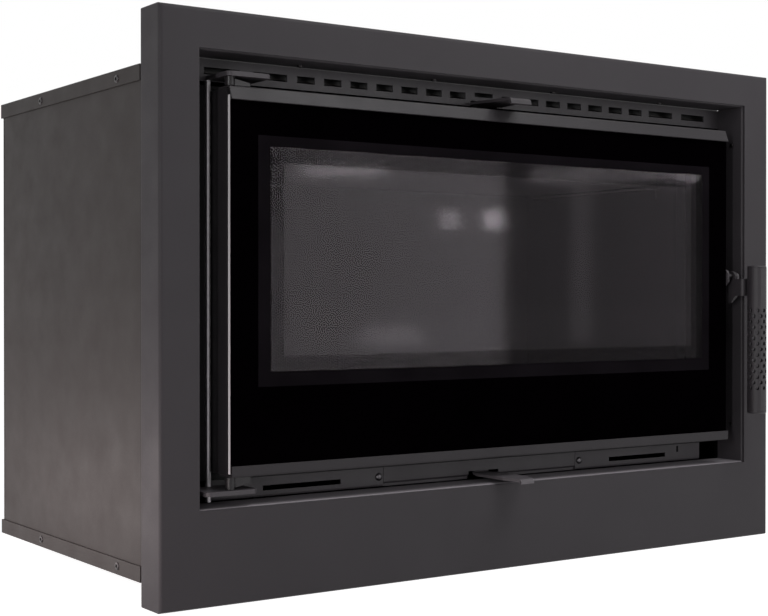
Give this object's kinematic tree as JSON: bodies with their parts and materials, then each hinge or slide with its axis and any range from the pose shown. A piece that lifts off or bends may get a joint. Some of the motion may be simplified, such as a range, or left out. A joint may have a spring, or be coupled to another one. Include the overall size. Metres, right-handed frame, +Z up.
{
  "type": "fireplace insert",
  "caption": "Wood-burning fireplace insert: sheet-steel casing behind a deep surround frame, glazed side-hinged door with a hooked pull handle, and upper and lower sliding air shutters.",
  "frame": {"origin": "centre of the casing's flat underside, which stands on the hearth's shelf", "axes": "+X to the right seen from the front, +Y from the front to the back, +Z up"},
  "size_m": [0.805, 0.4381, 0.56],
  "materials": {
    "graphite_paint": "fine matt graphite stove paint",
    "casing_paint": "satin grey-brown paint on thin sheet",
    "recess_paint": "matt black stove paint",
    "vent_paint": "matt graphite stove paint",
    "firebox_paint": "dull black stove paint on plate steel",
    "door_paint": "satin black stove paint",
    "ceramic_glass": "polished clear glass-ceramic with a printed black border",
    "rope_seal": "braided glass-fibre rope and tape",
    "refractory": "pressed vermiculite board",
    "cast_iron": "as cast, blackened",
    "hardware_steel": "turned steel, darkened",
    "handle_paint": "satin graphite paint"
  },
  "bodies": {
    "casing": {"surround_frame": "graphite_paint", "recess_liner": "recess_paint", "side_panel_left": "casing_paint", "side_panel_right": "casing_paint", "rear_panel": "casing_paint", "top_cover": "casing_paint", "bottom_tray": "casing_paint", "top_vent_grille": "vent_paint", "bottom_vent_left": "vent_paint", "bottom_vent_right": "vent_paint", "regulator_plate": "vent_paint", "strip_screw_left": "hardware_steel", "strip_screw_right": "hardware_steel", "firebox_front_frame": "recess_paint", "firebox_floor": "firebox_paint", "firebox_side_left": "firebox_paint", "firebox_side_right": "firebox_paint", "firebox_back": "firebox_paint", "firebox_top": "firebox_paint", "flue_collar": "firebox_paint", "base_bearer_left": "firebox_paint", "base_bearer_right": "firebox_paint", "lining_left": "refractory", "lining_right": "refractory", "lining_back_left": "refractory", "lining_back_right": "refractory", "hearth_slab_left": "refractory", "hearth_slab_centre": "refractory", "hearth_slab_right": "refractory", "baffle_rail_left": "firebox_paint", "baffle_rail_right": "firebox_paint", "baffle_lower": "refractory", "baffle_upper": "firebox_paint", "log_guard": "cast_iron", "air_wash_deflector": "firebox_paint", "hinge_post": "recess_paint", "hinge_plate_top": "vent_paint", "hinge_plate_bottom": "vent_paint", "hinge_pin_top": "hardware_steel", "hinge_pin_bottom": "hardware_steel", "latch_keeper": "vent_paint", "keeper_pin": "hardware_steel"},
    "door": {"door_frame": "door_paint", "door_gasket": "rope_seal", "glass_gasket": "rope_seal", "glass_pane": "ceramic_glass", "glass_trim_top": "vent_paint", "glass_trim_bottom": "vent_paint", "hinge_knuckle_top": "hardware_steel", "hinge_knuckle_bottom": "hardware_steel", "latch_bracket": "vent_paint", "latch_pivot": "hardware_steel"},
    "handle": {"latch_lever": "handle_paint", "handle_grip": "handle_paint", "grip_cap_top": "handle_paint", "grip_cap_bottom": "handle_paint"},
    "secondary_air": {"secondary_air_slider": "firebox_paint", "secondary_air_lever": "vent_paint"},
    "primary_air": {"primary_air_slider": "firebox_paint", "primary_air_lever": "vent_paint"}
  },
  "joints": [
    {"name": "door_hinge", "type": "hinge", "parent": "casing", "child": "door", "pos_m": [-0.3285, -0.21565, 0.278], "axis": [0, 0, -1], "range_deg": [0, 105]},
    {"name": "handle_latch", "type": "hinge", "parent": "door", "child": "handle", "pos_m": [0.3446, -0.21765, 0.2875], "axis": [-1, 0, 0], "range_deg": [0, 40]},
    {"name": "secondary_air_slide", "type": "slide", "parent": "casing", "child": "secondary_air", "axis": [1, 0, 0], "range_m": [-0.00785, 0.00785]},
    {"name": "primary_air_slide", "type": "slide", "parent": "casing", "child": "primary_air", "axis": [1, 0, 0], "range_m": [-0.0113, 0.0077]}
  ]
}
